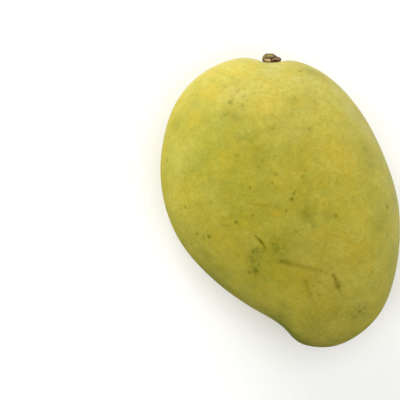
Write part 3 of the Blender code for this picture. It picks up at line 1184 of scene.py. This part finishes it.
def stub_point(radius, height, turn):
    """A point of the stub, in millimetres, from its place on the plain profile."""
    disc = np.exp(-(((height - DISC_HEIGHT) / DISC_THICKNESS) ** 2))
    shown = np.clip(height, 0.0, 1.0)
    radius = radius + disc * waves(turn, DISC_LOBES) + shown * waves(turn, WOOD_RIBS)
    way = Vector((math.cos(turn), math.sin(turn), 0.0))
    around, along, fibre_height = FIBRES_MM
    fibres = noise.noise(way * around + Vector((0, 0, height * along)))
    around, along, splinter_height = SPLINTERS_MM
    splinters = noise.noise(way * around + Vector((0, 0, height * along)))
    waver = fibre_height * fibres + splinter_height * splinters
    radius += shown * min(1.0, radius / FULL_FIBRE_RADIUS) * waver
    step_start, step_end = STEP_HEIGHTS
    over = min(1.0, max(0.0, (height - step_start) / (step_end - step_start)))
    x, y = radius * way.x, radius * way.y
    ragged = TOP_HEIGHT * noise.noise(way * TOP_WAVES + Vector(TOP_START))
    ragged += TOP_SPLINTER_HEIGHT * splinters
    bend = (1 - over) * DISC_BEND * x**2
    return Vector((x + over * STUB_TOP_X, y, height + bend + over * ragged))


def make_stub(foot):
    """The broken stalk on its scar disc, seated on the collar of skin."""
    profile = smooth_path(np.array(STUB_PROFILE_MM), STUB_RING_SPACING)
    stub = bmesh.new()
    rings = []
    for radius, height in profile:
        turns = [2 * math.pi * side / STUB_SIDES for side in range(STUB_SIDES)]
        rings.append([stub.verts.new(stub_point(radius, height, turn)) for turn in turns])
    for lower, upper in zip(rings, rings[1:]):
        for side in range(STUB_SIDES):
            after = (side + 1) % STUB_SIDES
            stub.faces.new((lower[side], lower[after], upper[after], upper[side]))
    stub.faces.new(rings[0][::-1])
    stub.faces.new(rings[-1])
    points = points_of(stub)
    outward = outward_of(stub)
    ragged = np.array([noise.noise(Vector(place) * FRAY_WAVES) for place in points])
    chips = np.array([noise.noise(Vector(place) * CHIP_WAVES) for place in points])
    pushed = -CHIP_HEIGHT * chips
    painted = {}
    for name, lines in STUB_LINES_MM.items():
        here = np.zeros(len(points))
        for line, half_width, depth in lines:
            for half_turn in (1, -1):
                marks = Scratches()
                path = smooth_path(np.array(line) * (half_turn, half_turn, 1), LINE_SPACING)
                marks.add(path, (half_width, half_width), (1.0, 1.0))
                cover = marks.strength_at(points) * (1 + LINE_FRAY * ragged)
                here = np.maximum(here, np.clip(LINE_COVER * cover, 0, 1))
                pushed += depth * cover
        painted[name] = here
    points = (points - pushed[:, None] * outward) * MM
    lie_down = Matrix.Rotation(-math.pi / 2, 4, "X")
    placement = Matrix.Translation(foot) @ Matrix.Rotation(-STALK_LEAN, 4, "Z") @ lie_down
    move_to(stub, [placement @ Vector(place) for place in points])
    piece = finish_piece("stalk_stub", stub, painted, stub_material())
    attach(piece, "root")
    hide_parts("stem_stub")


def make_fruit():
    grid = bmesh.new()
    bmesh.ops.create_cube(grid, size=2)
    bmesh.ops.subdivide_edges(grid, edges=grid.edges[:], cuts=GRID_CUTS, use_grid_fill=True)
    surface = smooth_form(points_of(grid))
    shift = to_row(surface)
    kinds = lay_marks(surface + shift)
    foot = sunk_in_basin(arch_point(STALK_X)[None])[0] + shift

    for margin in REFINE_MARGINS:
        points = smooth_form(points_of(grid)) + shift
        close = kinds["speck"].near(points, margin) | kinds["scratch"].near(points, margin)
        reach = STALK_REFINE_REACH + STALK_REFINE_MARGINS * margin
        close |= np.linalg.norm(points - foot, axis=1) < reach
        grid.verts.ensure_lookup_table()
        near = {grid.verts[i] for i in np.flatnonzero(close)}
        fine = [edge for edge in grid.edges if near.issuperset(edge.verts)]
        bmesh.ops.subdivide_edges(grid, edges=fine, cuts=1, use_grid_fill=True)

    points = smooth_form(points_of(grid)) + shift
    move_to(grid, points)
    outward = outward_of(grid)
    fray = frayed(points) - points
    painted = {}
    for name, marks in kinds.items():
        share = SHARP_FRAY if name in ("speck", "scratch") else 1.0
        painted[name] = marks.strength_at(points + share * fray)
    relief = slow_swells(points, outward) + callus(points, foot)
    relief -= SPECK_PIT * painted["speck"] + SCRATCH_GROOVE * painted["scratch"]
    relief -= BRUISE_DENT * painted["bruise"]
    points = points + relief[:, None] * outward
    points[:, 2] = flattened(points[:, 2])
    move_to(grid, points)

    # Ripeness, with the painted highlight and painted shade that its patches carry.
    painted["ripe_and_painted_light"] = ripeness_and_painted_light_at(points)
    gap = np.linalg.norm(points - foot, axis=1) / MM
    painted["collar"] = np.exp(-(((gap - COLLAR_RADIUS_MM) / COLLAR_WIDTH_MM) ** 2))
    fruit = finish_piece("mango_fruit", grid, painted, skin_material())
    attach(fruit, "root")
    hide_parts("fruit")
    return foot


bpy.context.scene.view_settings.view_transform = "Standard"
bpy.context.scene.view_settings.look = "None"
make_camera()
make_lamps()
make_sky()
make_floor()
stalk_foot = make_fruit()
make_stub(stalk_foot)
